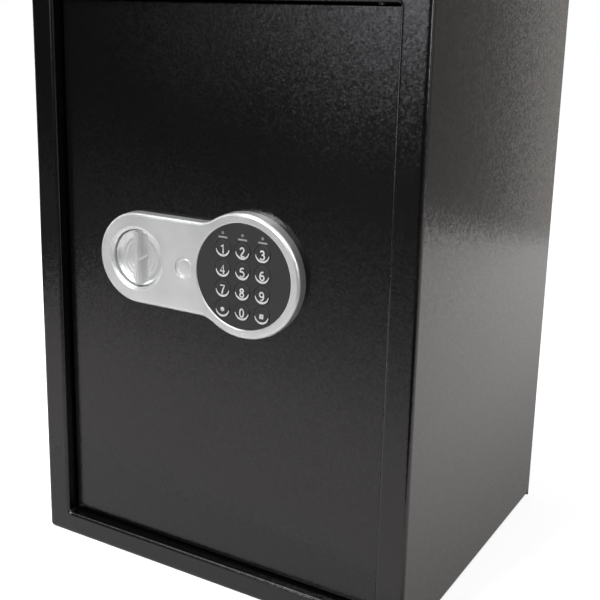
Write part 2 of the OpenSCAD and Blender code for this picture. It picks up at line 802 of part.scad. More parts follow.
// A slot along X, from the middle of one round end to the other.
module slot(length, wide, high) {
    cylinder(d = wide, h = high);
    translate([length, 0, 0]) cylinder(d = wide, h = high);
    translate([0, -wide/2, 0]) cube([length, wide, high]);
}

module bolt_carrier() color(steel) on_door() difference() {
    translate([0, 0, carrier_z - carrier_t]) {
        translate([carrier_left, lock_z - carrier_h/2, 0])
            cube([carrier_right - carrier_left, carrier_h, carrier_t]);
        translate([carrier_right - eps, arm_low, 0])
            cube([tooth_x + tooth_w - carrier_right + eps, arm_h, carrier_t]);
        translate([tooth_x, tooth_low, 0]) cube([tooth_w, arm_low - tooth_low + eps, carrier_t]);
    }
    translate([knob_x + bolt_stroke/2, lock_z + cam_pin_r*cos(45) - 0.6, carrier_z - carrier_t - 1])
        rotate(90) slot(cam_pin_r*(1 - cos(45)) + 1.2, slot_w, carrier_t + 2);
    for (s = [-1, 1]) translate([post_x, lock_z + s*post_y, carrier_z - carrier_t - 1])
        slot(bolt_stroke, post_d + 0.6, carrier_t + 2);
    for (s = [-1, 1]) translate([carrier_left + bolt_lap/2, lock_z + s*bolt_pitch/2,
            carrier_z - carrier_t - 1]) cylinder(d = bolt_screw_d + 2*pin_fit, h = carrier_t + 2);
}

module locking_bolts() color(zinc) on_door() for (s = [-1, 1])
    translate([bolt_tip, lock_z + s*bolt_pitch/2, bolt_z]) rotate([0, 90, 0]) difference() {
        union() {
            cylinder(d1 = bolt_d - 2*bolt_taper, d2 = bolt_d, h = bolt_taper);
            translate([0, 0, bolt_taper]) cylinder(d = bolt_d, h = bolt_l - bolt_taper);
        }
        translate([carrier_z < bolt_z ? bolt_z - carrier_z : 0, -bolt_d, bolt_l - bolt_lap - 0.3])
            cube([bolt_d, 2*bolt_d, bolt_lap + 1]);
        translate([0, 0, bolt_l - bolt_lap/2]) rotate([0, 90, 0])
            cylinder(d = bolt_screw_d + 2*pin_fit, h = bolt_d);
    }

module bolt_screws() color(zinc) on_door() for (s = [-1, 1])
    translate([carrier_left + bolt_lap/2, lock_z + s*bolt_pitch/2, carrier_z - carrier_t]) {
        cylinder(d = bolt_screw_d, h = carrier_t + 6);
        translate([0, 0, -bolt_head_h]) cross_head(cam_screw_head, bolt_head_h, bolt_slot_w);
    }

module bolt_guides() color(steel) on_door() for (s = [-1, 1])
    translate([chan_left + channel_t, lock_z + s*bolt_pitch/2, 0]) difference() {
        translate([0, -bolt_d/2 - guide_foot, bolt_z - bolt_d/2 - guide_wall])
            cube([guide_t, bolt_d + 2*guide_foot, -door_t - bolt_z + bolt_d/2 + guide_wall]);
        translate([-1, 0, bolt_z]) rotate([0, 90, 0])
            cylinder(d = bolt_d + 2*slide_fit, h = guide_t + 2);
    }

module carrier_posts() color(zinc) on_door() for (s = [-1, 1])
    translate([post_x, lock_z + s*post_y, 0]) {
        translate([0, 0, carrier_z + air]) cylinder(d = post_d + 4, h = -door_t - carrier_z - air);
        translate([0, 0, carrier_z - carrier_t - air - eps])
            cylinder(d = post_d, h = carrier_t + 2*air + 2*eps);
        translate([0, 0, carrier_z - carrier_t - air - post_head_t])
            cylinder(d = post_d + 6, h = post_head_t);
    }

module solenoid_frame() color("#54606a") on_door() difference() {
    translate([plunger_x - solenoid_w/2, solenoid_low, solenoid_back])
        cube([solenoid_w, solenoid_h, -door_t - solenoid_back]);
    translate([plunger_x, solenoid_low + solenoid_h + 1, plunger_z])
        rotate([90, 0, 0]) cylinder(d = plunger_d + 0.6, h = solenoid_h - 1);
}

module plunger() color(zinc) on_door() translate([plunger_x, 0, plunger_z]) {
    translate([0, plunger_tip, 0]) rotate([90, 0, 0]) cylinder(d = plunger_d, h = plunger_tip - plunger_low);
    translate([0, collar_z + collar_t, 0]) rotate([90, 0, 0]) cylinder(d = collar_d, h = collar_t);
}

// The coil spring: a ring of points swept up a helix, with closed flat ends.
function coil_point(ring, k) =
    let(turn = 360*spring_turns*ring/spring_rings,
        rise = spring_low + spring_wire/2
            + (spring_high - spring_low - spring_wire)*ring/spring_rings,
        side = 360*k/6,
        reach = spring_r + spring_wire/2*cos(side))
    [reach*cos(turn), rise + spring_wire/2*sin(side), reach*sin(turn)];
spring_rings = spring_turns*14;

module plunger_spring() color(zinc) on_door() translate([plunger_x, 0, plunger_z])
    polyhedron(
        points = [for (ring = [0:spring_rings], k = [0:5]) coil_point(ring, k)],
        faces = concat(
            [[for (k = [0:5]) k]],
            [for (ring = [0:spring_rings - 1], k = [0:5], half = [0, 1])
                let(a = 6*ring + k, b = 6*ring + (k + 1) % 6)
                half == 0 ? [a, a + 6, b] : [b, a + 6, b + 6]],
            [[for (k = [5:-1:0]) 6*spring_rings + k]]));

module override_cover() color(silver) on_door() translate([override_x, override_z, 0]) {
    translate([0, 0, cap_seat + 0.1]) cylinder(d = cap_d, h = panel_t - cap_seat - 0.1);
    translate([0, 0, panel_t - eps]) cylinder(d1 = cap_d, d2 = cap_d - 3*cap_rise, h = cap_rise);
    translate([0, 0, cylinder_top + cap_room]) difference() {
        cylinder(d = cap_stem_d, h = cap_seat + 0.2 - cylinder_top - cap_room);
        translate([0, 0, -1]) cylinder(d = cap_stem_d - 2.4, h = cap_hollow + 1);
    }
}

module override_cylinder() color("#b9a36a") on_door() translate([override_x, override_z, 0])
    difference() {
        union() {
            translate([0, 0, cylinder_low]) cylinder(d = cylinder_d, h = cylinder_top - cylinder_low);
            cylinder(d = cylinder_d + 3, h = cylinder_flange_t);
        }
        translate([0, 0, cylinder_low - 1]) cylinder(d = plug_d + 2*pin_fit, h = 40);
    }

module cylinder_nut() color(zinc) on_door() translate([override_x, override_z, -door_t - nut_t])
    difference() {
        cylinder(d = cylinder_d + 8, h = nut_t, $fn = 6);
        translate([0, 0, -1]) cylinder(d = cylinder_d + 2*pin_fit, h = nut_t + 2);
    }

module override_plug() color("#c9b277") on_door() translate([override_x, override_z, 0]) {
    difference() {
        translate([0, 0, cylinder_low - plug_gap]) cylinder(d = plug_d, h = cylinder_top - cylinder_low);
        translate([-keyway[0]/2, -keyway[1]/2, cylinder_top - keyway[2]])
            cube([keyway[0], keyway[1], keyway[2] + 1]);
    }
    translate([0, 0, cylinder_low - plug_gap - override_cam_t - 1])
        cylinder(d = tail_d, h = override_cam_t + 2);
}

module override_cam() color(zinc) on_door()
    translate([override_x, override_z, cylinder_low - plug_gap - override_cam_t]) difference() {
        union() {
            cylinder(d = tail_d + 7, h = override_cam_t);
            rotate(cam_rest) slot(override_arm, cam_arm_w, override_cam_t);
        }
        translate([0, 0, -1]) cylinder(d = tail_d + 2*pin_fit, h = override_cam_t + 2);
    }

module control_board() color("#1f5a3a") on_door() translate([pcb_x, pcb_low, pcb_z - board_t]) {
    difference() {
        cube([pcb_w, pcb_h, board_t]);
        for (x = pcb_screw_x, y = pcb_screw_y) translate([x, y, -1])
            cylinder(d = pcb_screw_d + 2*hole_slack, h = board_t + 2);
    }
    translate([chip_at[0], chip_at[1], -chip_t]) cube([chip_w, chip_w, chip_t + eps]);
    translate([buzzer_at[0], buzzer_at[1], -buzzer_h]) cylinder(d = buzzer_d, h = buzzer_h + eps);
    translate([socket_at[0], socket_at[1], -socket_h]) cube([socket_w, 2*socket_w, socket_h + eps]);
    translate([reset_x - pcb_x - switch_w/2, reset_z - pcb_low - switch_w/2, -switch_h])
        cube([switch_w, switch_w, switch_h + eps]);
    translate([capacitor_at[0], capacitor_at[1], -capacitor_h])
        cylinder(d = capacitor_d, h = capacitor_h + eps);
}

module board_standoffs() color(zinc) on_door()
    for (x = pcb_screw_x, y = pcb_screw_y) translate([pcb_x + x, pcb_low + y, pcb_z - board_t]) {
        translate([0, 0, board_t]) cylinder(d = standoff_d, h = -door_t - pcb_z);
        cylinder(d = pcb_screw_d, h = board_t + eps);
        translate([0, 0, -screw_head_h]) cylinder(d = 1.8*pcb_screw_d, h = screw_head_h);
    }

module ribbon_cable() color("#b8b9bd") on_door()
    translate([pad_x - ribbon_w/2, lock_z - ribbon_t/2, pcb_z])
        cube([ribbon_w, ribbon_t, board_top - board_t - pcb_z]);

module wire_leads() color("#a02020") on_door() {
    for (x = tray_lead_x) translate([tray_x + x, tray_low, pcb_z + lead_d/2])
        rotate([90, 0, 0]) cylinder(d = lead_d, h = tray_low - pcb_low - pcb_h + lead_lap);
    for (y = coil_lead_y) translate([plunger_x + solenoid_w/2, pcb_low + y, pcb_z + lead_d/2])
        rotate([0, 90, 0]) cylinder(d = lead_d, h = pcb_x - plunger_x - solenoid_w/2 + lead_lap);
}

module battery_tray() color("#1e1e1f") on_door() difference() {
    union() {
        translate([tray_x - tray_w/2, tray_low, chamber_z]) cube([tray_w, tray_h, tray_d]);
        translate([tray_x - tray_w/2 - tray_flange, tray_low - tray_flange, chamber_z])
            cube([tray_w + 2*tray_flange, tray_h + 2*tray_flange, 1.4]);
    }
    translate([tray_x - tray_w/2 + tray_wall, tray_low + tray_wall, chamber_z - 1])
        cube([tray_w - 2*tray_wall, tray_h - 2*tray_wall, tray_d - tray_wall + 1]);
}

function battery_x(k) = tray_x + (k - (battery_count - 1)/2)*(battery_d + 0.6);

module batteries() color("#c08a2e") on_door() for (k = [0:battery_count - 1])
    translate([battery_x(k), 0, tray_z - tray_wall - battery_d/2 - 0.2]) {
        up = k % 2 == 0;
        translate([0, tray_low + tray_h/2 + battery_l/2 - (up ? 1 : 0), 0])
            rotate([90, 0, 0]) cylinder(d = battery_d, h = battery_l - 1);
        translate([0, tray_low + tray_h/2 + (up ? battery_l/2 : cell_cap_h - battery_l/2), 0])
            rotate([90, 0, 0]) cylinder(d = cell_cap_d, h = cell_cap_h);
    }

module battery_contacts() color(zinc) on_door() for (k = [0:battery_count - 1], end = [0, 1])
    translate([battery_x(k) - contact_w/2,
            end == 0 ? tray_low + tray_wall : tray_low + tray_h - tray_wall - contact_t,
            tray_z - tray_wall - battery_d/2 - contact_w/2 - 0.2]) cube([contact_w, contact_t, contact_w]);

module battery_lid() color("#1a1a1b") on_door()
    translate([tray_x, tray_low + tray_h/2, chamber_z - cover_t - lid_gap - lid_t]) {
        translate([-tray_w/2 - tray_flange, -tray_h/2 - 4, 0])
            cube([tray_w + 2*tray_flange, tray_h + 8, lid_t]);
        for (k = [0:3]) translate([-lid_rib_w/2, -tray_h/2 + 4 + lid_rib_pitch*k, -lid_rib_h])
            cube([lid_rib_w, lid_rib_t, lid_rib_h + eps]);
    }

module reset_button() color("#a8231c") on_door() translate([reset_x, reset_z, 0]) {
    translate([0, 0, chamber_z - cover_t - reset_out])
        cylinder(d = reset_d, h = cover_t + reset_out + air + eps);
    translate([0, 0, chamber_z + air]) cylinder(d = reset_d + 3, h = reset_step + 0.1 - air);
    translate([0, 0, chamber_z + reset_step])
        cylinder(d = reset_d/2,
            h = pcb_z - board_t - switch_h - reset_travel - air - chamber_z - reset_step);
}

cabinet_shell();
front_frame();
back_panel();
hinge_brackets();
shelf();
shelf_supports();
floor_mat();
door_plate();
door_channel();
hinge_blocks();
hinge_pins();
inner_cover();
cover_screws();
panel_housing();
panel_bolts();
keypad_fascia();
keypad_board();
indicator_lenses();
key_1();
key_2();
key_3();
key_4();
key_5();
key_6();
key_7();
key_8();
key_9();
key_star();
key_0();
key_hash();
knob();
knob_spindle();
knob_bush();
bolt_cam();
cam_screw();
bolt_carrier();
locking_bolts();
bolt_screws();
bolt_guides();
carrier_posts();
solenoid_frame();
plunger();
plunger_spring();
override_cover();
override_cylinder();
cylinder_nut();
override_plug();
override_cam();
control_board();
board_standoffs();
ribbon_cable();
wire_leads();
battery_tray();
batteries();
battery_contacts();
battery_lid();
reset_button();
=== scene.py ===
import json
import math

import bmesh
import bpy
from mathutils import Matrix, Vector
from mathutils.geometry import tessellate_polygon


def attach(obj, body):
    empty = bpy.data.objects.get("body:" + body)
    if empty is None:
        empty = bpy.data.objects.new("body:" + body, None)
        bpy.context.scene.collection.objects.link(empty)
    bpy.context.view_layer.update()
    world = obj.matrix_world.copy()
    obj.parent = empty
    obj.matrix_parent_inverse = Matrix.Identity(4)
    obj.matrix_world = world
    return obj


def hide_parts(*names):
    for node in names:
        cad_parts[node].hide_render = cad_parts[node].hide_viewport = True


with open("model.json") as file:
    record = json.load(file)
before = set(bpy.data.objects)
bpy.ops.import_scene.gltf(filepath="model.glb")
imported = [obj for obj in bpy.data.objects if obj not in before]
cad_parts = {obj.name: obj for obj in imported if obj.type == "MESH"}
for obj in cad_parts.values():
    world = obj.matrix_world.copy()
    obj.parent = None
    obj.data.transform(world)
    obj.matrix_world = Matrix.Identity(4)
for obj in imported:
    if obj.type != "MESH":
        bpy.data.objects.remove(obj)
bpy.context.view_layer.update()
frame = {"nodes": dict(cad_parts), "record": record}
nodes = frame["nodes"]
print("frame loaded:", len(nodes), "nodes")

# Lengths are in millimetres, as in the part's source, until mm() turns them into metres.
# The cabinet, the door and the lock come first, because other pieces take their places from them.
cabinet = dict(width=350.0, depth=310.0, height=500.0, sheet=2.0, frameWidth=20.5, sideWidth=23.5,
               outerBend=4.0, innerBend=3.0, longBend=4.5, leastCorner=0.3, openingCorner=3.0,
               reveal=18.0, flat=0.4, anchorPitch=200.0, anchorWide=12.0, drill=12.0)
door = dict(recess=11.0, thick=4.0, gap=2.0, edge=1.2, flat=0.4, corner=1.5, knobHole=7.1,
            lockHole=8.1, drill=20.0)
lock = dict(knobX=-70.0, padX=31.0, up=272.5, thick=10.0, knobEnd=38.0, padEnd=50.0, neck=24.0)

frontY = -cabinet["depth"] / 2
faceY = frontY + door["recess"]
backY = cabinet["depth"] / 2
creaseAngle = 35.0  # edges that turn by more than this many degrees stay sharp


def mm(x, y, z):
    return Vector((x / 1000, y / 1000, z / 1000))


def onDoor(x, up, out):  # a place given across, up and out from the door's face
    return mm(x, faceY - out, up)


def inScene(name, data):
    obj = bpy.data.objects.new(name, data)
    bpy.context.scene.collection.objects.link(obj)
    return obj


def meshFrom(name, bm):
    mesh = bpy.data.meshes.new(name)
    bm.to_mesh(mesh)
    bm.free()
    return mesh


def makeObject(name, bm, crease=creaseAngle):
    bmesh.ops.remove_doubles(bm, verts=bm.verts, dist=1e-7)
    bmesh.ops.recalc_face_normals(bm, faces=bm.faces)
    mesh = meshFrom(name, bm)
    mesh.polygons.foreach_set("use_smooth", [True] * len(mesh.polygons))
    mesh.set_sharp_from_angle(angle=math.radians(crease))
    return inScene(name, mesh)


def evenNormals(obj):  # keeps the shading of wide flat faces flat up to their rounded edges
    weighted = obj.modifiers.new("weighted", "WEIGHTED_NORMAL")
    weighted.keep_sharp = True
    return obj


def applyAll(obj):  # turns the modifiers into plain mesh
    depsgraph = bpy.context.evaluated_depsgraph_get()
    mesh = bpy.data.meshes.new_from_object(obj.evaluated_get(depsgraph))
    obj.modifiers.clear()
    obj.data = mesh


def arc(centre, radius, start, end, steps):  # points from one angle in degrees to the other
    points = []
    for k in range(steps + 1):
        a = math.radians(start + (end - start) * k / steps)
        points.append((centre[0] + radius * math.cos(a), centre[1] + radius * math.sin(a)))
    return points


def bridge(bm, loopA, loopB, closed=True):
    count = len(loopA)
    for k in range(count if closed else count - 1):
        n = (k + 1) % count
        face = [loopA[k], loopA[n], loopB[n], loopB[k]]
        if len(set(face)) >= 3:
            bm.faces.new(list(dict.fromkeys(face)))


def roundedLoop(width, low, high, inset, radius, sideMore):  # a rectangle with round corners
    half = width / 2 - inset - sideMore
    low, high = low + inset, high - inset
    points = []
    for cx, cz, start in ((-half + radius, low + radius, 180), (half - radius, low + radius, 270),
                          (half - radius, high - radius, 0), (-half + radius, high - radius, 90)):
        points += arc((cx, cz), radius, start, start + 90, 6)
    return points


def frameSweep(name, profile, width, low, high, closed, cornerRadius,
               sideMore=lambda inset: 0.0):  # takes the profile round a rectangle
    bm = bmesh.new()
    loops = []
    for inset, back in profile:
        outline = roundedLoop(width, low, high, inset, cornerRadius(inset), sideMore(inset))
        loops.append([bm.verts.new(mm(x, back, up)) for x, up in outline])
    for k in range(len(loops) - 1):
        bridge(bm, loops[k], loops[k + 1])
    if closed:
        bridge(bm, loops[-1], loops[0])
    else:
        bm.faces.new(loops[0])
        bm.faces.new(loops[-1])
    return makeObject(name, bm)


def cutHoles(obj, holes):  # each hole is its axis, middle, radius and the drill's length
    bm = bmesh.new()
    for axis, middle, radius, reach in holes:
        turn = Matrix.Rotation(math.radians(90), 4, "X") if axis == "Y" else Matrix.Identity(4)
        bmesh.ops.create_cone(bm, cap_ends=True, segments=48, radius1=radius / 1000,
                              radius2=radius / 1000, depth=reach / 1000,
                              matrix=Matrix.Translation(mm(*middle)) @ turn)
    cutter = inScene("cutter", meshFrom("cutter", bm))
    cut = obj.modifiers.new("cut", "BOOLEAN")
    cut.operation = "DIFFERENCE"
    cut.solver = "EXACT"
    cut.object = cutter
    applyAll(obj)
    bpy.data.objects.remove(cutter)
    obj.data.set_sharp_from_angle(angle=math.radians(creaseAngle))


def lathe(bm, profile, middle, sides):  # a profile of radius and height out from the door
    rings = []
    for radius, out in profile:
        if radius < 1e-6:
            rings.append([bm.verts.new(onDoor(middle[0], middle[1], out))] * sides)
            continue
        ring = []
        for k in range(sides):
            a = 2 * math.pi * k / sides
            ring.append(bm.verts.new(onDoor(middle[0] + radius * math.cos(a),
                                            middle[1] + radius * math.sin(a), out)))
        rings.append(ring)
    for k in range(len(rings) - 1):
        bridge(bm, rings[k], rings[k + 1])
    return rings


def fillFlat(bm, loops):  # a flat face on the door's plane with holes, its outside loop first
    flat = [vert for loop in loops for vert in loop]
    outlines = [[Vector((v.co.x, v.co.z, 0)) for v in loop] for loop in loops]
    for a, b, c in tessellate_polygon(outlines):
        bm.faces.new([flat[a], flat[b], flat[c]])


def dress(obj, body, slotName, material, *replaced):
    obj.data.materials.clear()
    obj.data.materials.append(material)
    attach(obj, body)
    if replaced:
        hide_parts(*replaced)


# Materials

def newMaterial(name, sockets):
    material = bpy.data.materials.new(name)
    material.use_nodes = True
    shader = material.node_tree.nodes["Principled BSDF"]
    for key, value in sockets.items():
        shader.inputs[key].default_value = value
    return material, material.node_tree, shader


def node(tree, kind, sockets=(), **settings):
    made = tree.nodes.new(kind)
    for key, value in settings.items():
        setattr(made, key, value)
    for key, value in dict(sockets).items():
        made.inputs[key].default_value = value
    return made


def objectPlace(tree, stretch=(1, 1, 1)):
    coords = node(tree, "ShaderNodeTexCoord")
    mapping = node(tree, "ShaderNodeMapping", {"Scale": stretch})
    tree.links.new(coords.outputs["Object"], mapping.inputs["Vector"])
    return mapping.outputs["Vector"]


def noise(tree, vector, scale, detail=2.0, roughness=0.5):
    made = node(tree, "ShaderNodeTexNoise",
                {"Scale": scale, "Detail": detail, "Roughness": roughness})
    tree.links.new(vector, made.inputs["Vector"])
    return made.outputs["Fac"]


def ramp(tree, value, low, high, colorLow, colorHigh):
    made = node(tree, "ShaderNodeValToRGB")
    for stop, place, color in zip(made.color_ramp.elements, (low, high), (colorLow, colorHigh)):
        stop.position = place
        stop.color = (*color, 1)
    tree.links.new(value, made.inputs["Fac"])
    return made.outputs["Color"]


def spread(tree, value, low, high, start=0.0, end=1.0):  # maps start to end onto low to high
    made = node(tree, "ShaderNodeMapRange",
                {"From Min": start, "From Max": end, "To Min": low, "To Max": high})
    tree.links.new(value, made.inputs["Value"])
    return made.outputs["Result"]


def bump(tree, shader, height, strength, distance):
    made = node(tree, "ShaderNodeBump", {"Strength": strength, "Distance": distance})
    tree.links.new(height, made.inputs["Height"])
    tree.links.new(made.outputs["Normal"], shader.inputs["Normal"])
    return made


coatLook = dict(dark=(0.0026, 0.0022, 0.0023), pale=(0.0034, 0.0029, 0.0030), cloud=7.0,
                roughLow=0.17, roughHigh=0.20, sheenLow=0.45, sheenHigh=0.55, sheenGrain=600.0,
                grain=480.0, grainDepth=0.00010, grainBump=0.5, cells=576.0, lean=0.048)
coverLook = dict(coatLook, dark=(0.018, 0.018, 0.018), pale=(0.026, 0.026, 0.026), grainBump=0.3)
plasticLook = dict(bump=0.25, cloud=30.0, dark=0.92, pale=1.06, smooth=0.9, rough=1.1)
brushLook = dict(bump=0.15, depth=0.00003, lines=80.0, dark=0.85, smooth=0.8, rough=1.25)


def powderCoat(name, look):
    material, tree, shader = newMaterial(name, {"Specular IOR Level": 0.5})
    link = tree.links.new
    place = objectPlace(tree)
    cells = node(tree, "ShaderNodeTexVoronoi", {"Scale": look["cells"]})
    link(place, cells.inputs["Vector"])
    # every speck of the coat leans a little its own way, under the finer bump
    middled = node(tree, "ShaderNodeVectorMath", {1: (0.5, 0.5, 0.5)}, operation="SUBTRACT")
    link(cells.outputs["Color"], middled.inputs[0])
    less = node(tree, "ShaderNodeVectorMath", {"Scale": look["lean"]}, operation="SCALE")
    link(middled.outputs[0], less.inputs[0])
    plain = node(tree, "ShaderNodeNewGeometry")
    leaning = node(tree, "ShaderNodeVectorMath", operation="ADD")
    link(plain.outputs["Normal"], leaning.inputs[0])
    link(less.outputs[0], leaning.inputs[1])
    even = node(tree, "ShaderNodeVectorMath", operation="NORMALIZE")
    link(leaning.outputs[0], even.inputs[0])
    specks = noise(tree, place, look["grain"], 1.5, 0.55)
    fine = bump(tree, shader, specks, look["grainBump"], look["grainDepth"])
    link(even.outputs[0], fine.inputs["Normal"])
    sheen = noise(tree, place, look["sheenGrain"], 2.0, 0.6)
    link(spread(tree, sheen, look["sheenLow"], look["sheenHigh"], 0.32, 0.68),
         shader.inputs["Specular IOR Level"])
    broad = noise(tree, place, look["cloud"], 3.0)
    link(ramp(tree, broad, 0.3, 0.7, look["dark"], look["pale"]), shader.inputs["Base Color"])
    link(spread(tree, broad, look["roughLow"], look["roughHigh"]), shader.inputs["Roughness"])
    return material


def mouldedPlastic(name, color, rough, grain=2500.0, depth=0.00002, metal=0.0):
    look = plasticLook
    material, tree, shader = newMaterial(name, {"Metallic": metal})
    place = objectPlace(tree)
    bump(tree, shader, noise(tree, place, grain), look["bump"], depth)
    broad = noise(tree, place, look["cloud"])
    low = tuple(c * look["dark"] for c in color)
    high = tuple(min(1.0, c * look["pale"]) for c in color)
    tree.links.new(ramp(tree, broad, 0.3, 0.7, low, high), shader.inputs["Base Color"])
    tree.links.new(spread(tree, broad, rough * look["smooth"], rough * look["rough"]),
                   shader.inputs["Roughness"])
    return material


def brushedMetal(name, color, rough, stretch=(1, 1, 60)):
    look = brushLook
    material, tree, shader = newMaterial(name, {"Metallic": 1.0})
    lines = noise(tree, objectPlace(tree, stretch), look["lines"], 4.0, 0.65)
    bump(tree, shader, lines, look["bump"], look["depth"])
    low = tuple(c * look["dark"] for c in color)
    tree.links.new(ramp(tree, lines, 0.25, 0.75, low, color), shader.inputs["Base Color"])
    tree.links.new(spread(tree, lines, rough * look["smooth"], rough * look["rough"]),
                   shader.inputs["Roughness"])
    return material


coatBlack = powderCoat("coatBlack", coatLook)
coverPaint = powderCoat("coverPaint", coverLook)
silverPaint = mouldedPlastic("silverPaint", (0.71, 0.72, 0.715), 0.30, 5000.0, 0.00001, 0.55)
keypadBlack = mouldedPlastic("keypadBlack", (0.014, 0.0142, 0.0145), 0.5)
printWhite = mouldedPlastic("printWhite", (0.68, 0.68, 0.68), 0.5)
printDim = mouldedPlastic("printDim", (0.30, 0.30, 0.30), 0.5)
lensGrey = mouldedPlastic("lensGrey", (0.24, 0.25, 0.24), 0.25)
steelPlate = brushedMetal("steelPlate", (0.50, 0.51, 0.52), 0.36)
boltSteel = brushedMetal("boltSteel", (0.62, 0.63, 0.64), 0.22, (60, 1, 1))
brassTurned = brushedMetal("brassTurned", (0.60, 0.45, 0.20), 0.3)
solenoidWrap = mouldedPlastic("solenoidWrap", (0.06, 0.075, 0.09), 0.5)
boardGreen = mouldedPlastic("boardGreen", (0.02, 0.11, 0.05), 0.4)
ribbonGrey = mouldedPlastic("ribbonGrey", (0.40, 0.40, 0.42), 0.5)
leadRed = mouldedPlastic("leadRed", (0.35, 0.02, 0.02), 0.45)
trayBlack = mouldedPlastic("trayBlack", (0.020, 0.020, 0.021), 0.5, 1800.0, 0.00005)
batteryWrap = mouldedPlastic("batteryWrap", (0.45, 0.24, 0.05), 0.3, metal=0.5)
buttonRed = mouldedPlastic("buttonRed", (0.40, 0.02, 0.015), 0.3)
matRubber = mouldedPlastic("matRubber", (0.022, 0.021, 0.023), 0.85, 900.0, 0.0002)

slotMaterials = dict(
    cabinet_coat=coatBlack, door_coat=coatBlack, inner_cover_coat=coverPaint,
    mat_rubber=matRubber, silver_plastic=silverPaint, keypad_black=keypadBlack,
    key_black=keypadBlack, lens_plastic=lensGrey, plated_steel=steelPlate, bolt_steel=boltSteel,
    bush_brass=brassTurned, lock_brass=brassTurned, solenoid_wrap=solenoidWrap,
    board_green=boardGreen, ribbon_grey=ribbonGrey, lead_red=leadRed, tray_black=trayBlack,
    battery_wrap=batteryWrap, button_red=buttonRed)

for row in frame["record"]["subparts"]:
    carried = nodes[row["node"]]
    carried.data.materials.clear()
    carried.data.materials.append(slotMaterials[row["material_slot"]])
print("materials made")

# Cabinet skin: one sheet that wraps the sides, bends into the front frame and lines the opening

def wrapProfile():
    outer, inner, sheet = cabinet["outerBend"], cabinet["innerBend"], cabinet["sheet"]
    wide, flat, lined = cabinet["frameWidth"], cabinet["flat"], frontY + cabinet["reveal"]

    def bend(x, y, radius, start, end, steps):
        return [(px, frontY + py) for px, py in arc((x, y), radius, start, end, steps)]

    points = [(0, backY - sheet)]
    points += bend(outer, outer, outer, 180, 270, 10)
    points += [(outer + flat, frontY), (wide - inner - flat, frontY)]  # keeps the shading flat
    points += bend(wide - inner, inner, inner, -90, 0, 10)
    points += [(wide, lined), (wide - sheet, lined)]
    points += bend(wide - inner, inner, inner - sheet, 0, -90, 4)
    points += bend(outer, outer, outer - sheet, 270, 180, 6)
    return points + [(sheet, backY - sheet)]


def acrossStrip(inset):  # 0 at the outer bend and 1 at the inner one
    start, end = cabinet["outerBend"], cabinet["frameWidth"] - cabinet["innerBend"]
    return min(max((inset - start) / (end - start), 0.0), 1.0)


def sideStrip(inset):  # the front's strips are wider at the sides than at the top and bottom
    return (cabinet["sideWidth"] - cabinet["frameWidth"]) * acrossStrip(inset)


def skinCorner(inset):  # the long edges' corners tighten inwards, the opening's open out
    outside = max(cabinet["longBend"] - inset, cabinet["leastCorner"])
    opening = cabinet["frameWidth"] + cabinet["openingCorner"] - inset
    return outside + (opening - outside) * acrossStrip(inset)


hinge = dict(x=131.5, back=8.0, pin=10.0, drill=8.0)
cabinetSkin = frameSweep("cabinetSkin", wrapProfile(), cabinet["width"], 0.0, cabinet["height"],
                         True, skinCorner, sideStrip)
liningUp = cabinet["frameWidth"] - cabinet["sheet"] / 2
anchorHoles = [("Z", (side * cabinet["anchorPitch"] / 2, 0, 0), cabinet["anchorWide"] / 2,
                cabinet["drill"]) for side in (-1, 1)]
pinHoles = [("Z", (hinge["x"], faceY + hinge["back"], up), hinge["pin"] / 2, hinge["drill"])
            for up in (liningUp, cabinet["height"] - liningUp)]
cutHoles(cabinetSkin, anchorHoles + pinHoles)
dress(cabinetSkin, "cabinet", "cabinet_coat", coatBlack, "cabinet_shell", "front_frame")
print("cabinet skin made")

# Door plate, bored for the knob's spindle and the override lock

override = dict(x=-23.3, up=271.5)
doorWidth = cabinet["width"] - 2 * cabinet["sideWidth"] - 2 * door["gap"]
doorLow = cabinet["frameWidth"] + door["gap"]
doorProfile = [(0, faceY + door["thick"])]
doorProfile += [(x, faceY + y)
                for x, y in arc((door["edge"], door["edge"]), door["edge"], 180, 270, 8)]
doorProfile += [(door["edge"] + door["flat"], faceY)]  # keeps the wide face's shading flat
doorPlate = frameSweep("doorPlate", doorProfile, doorWidth, doorLow, cabinet["height"] - doorLow,
                       False, lambda inset: door["corner"])
cutHoles(doorPlate, [
    ("Y", (lock["knobX"], faceY, lock["up"]), door["knobHole"], door["drill"]),
    ("Y", (override["x"], faceY, override["up"]), door["lockHole"], door["drill"])])
dress(doorPlate, "door", "door_coat", coatBlack, "door_plate")
print("door plate made")

# Lock panel: its outline is arcs round the knob end, the keypad end and the two inner corners

